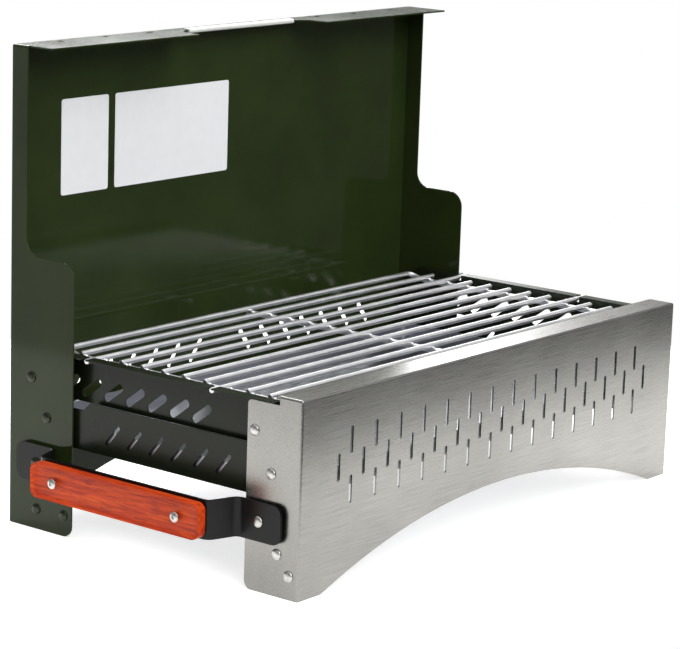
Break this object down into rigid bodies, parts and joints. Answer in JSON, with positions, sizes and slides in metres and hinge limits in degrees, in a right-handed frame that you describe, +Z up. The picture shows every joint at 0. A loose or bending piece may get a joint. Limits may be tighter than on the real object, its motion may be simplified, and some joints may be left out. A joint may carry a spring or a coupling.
{
  "type": "folding charcoal grill",
  "caption": "Charcoal grill with a tall windshield, slotted front panel, wire grate, charcoal tray and wooden side handles; parallel links fold it flat into a case.",
  "frame": {"origin": "on the floor, under the middle of the open grill", "axes": "+X along the front to the right, +Y from the front panel to the rear panel, +Z up"},
  "size_m": [0.5224, 0.267, 0.342],
  "materials": {
    "brushed_front": "brushed",
    "green_paint": "gloss",
    "black_paint": "satin",
    "grate_wire": "polished",
    "tray_steel": "satin",
    "fastener_steel": "satin",
    "grip_wood": "stained",
    "label_white": "matte",
    "trim_pale": "matte"
  },
  "bodies": {
    "rear_case": {"rear_panel": "green_paint", "hand_edge_trim": "trim_pale", "small_label": "label_white", "large_label": "label_white", "rear_upper_pivot_rivets": "fastener_steel", "rear_lower_pivot_rivets": "fastener_steel", "rear_handle_pivot_rivets": "fastener_steel", "rear_fixed_rivets": "fastener_steel", "rear_upper_spacers": "fastener_steel", "rear_lower_spacers": "fastener_steel", "rear_handle_washers": "fastener_steel"},
    "grate_links": {"grate": "grate_wire", "upper_side_left": "black_paint", "upper_side_right": "black_paint"},
    "front_case": {"front_panel": "brushed_front", "front_upper_pivot_rivets": "fastener_steel", "front_lower_pivot_rivets": "fastener_steel", "front_handle_pivot_rivets": "fastener_steel", "front_fixed_rivets": "fastener_steel", "front_upper_spacers": "fastener_steel", "front_lower_spacers": "fastener_steel", "front_handle_washers": "fastener_steel"},
    "tray_links": {"charcoal_tray": "tray_steel", "lower_side_left": "black_paint", "lower_side_right": "black_paint"},
    "left_handle": {"handle_bracket_left": "black_paint", "handle_grip_left": "grip_wood", "grip_screws_left": "fastener_steel"},
    "right_handle": {"handle_bracket_right": "black_paint", "handle_grip_right": "grip_wood", "grip_screws_right": "fastener_steel"}
  },
  "joints": [
    {"name": "case_fold", "type": "hinge", "parent": "rear_case", "child": "grate_links", "pos_m": [0, 0.1115, 0.1095], "axis": [-1, 0, 0], "range_deg": [0, 90]},
    {"name": "front_panel_turn", "type": "hinge", "parent": "grate_links", "child": "front_case", "pos_m": [0, -0.0935, 0.1095], "axis": [-1, 0, 0], "range_deg": [-90, 0]},
    {"name": "tray_link_turn", "type": "hinge", "parent": "rear_case", "child": "tray_links", "pos_m": [0, 0.0965, 0.0825], "axis": [-1, 0, 0], "range_deg": [0, 90]},
    {"name": "left_handle_turn", "type": "hinge", "parent": "rear_case", "child": "left_handle", "pos_m": [0, 0.103, 0.0495], "axis": [-1, 0, 0], "range_deg": [0, 90]},
    {"name": "right_handle_turn", "type": "hinge", "parent": "rear_case", "child": "right_handle", "pos_m": [0, 0.103, 0.0495], "axis": [-1, 0, 0], "range_deg": [0, 90]}
  ],
  "couplings": [
    {"joint": "front_panel_turn", "follows": "case_fold", "ratio": -1},
    {"joint": "tray_link_turn", "follows": "case_fold", "ratio": 1},
    {"joint": "left_handle_turn", "follows": "case_fold", "ratio": 1},
    {"joint": "right_handle_turn", "follows": "case_fold", "ratio": 1}
  ]
}
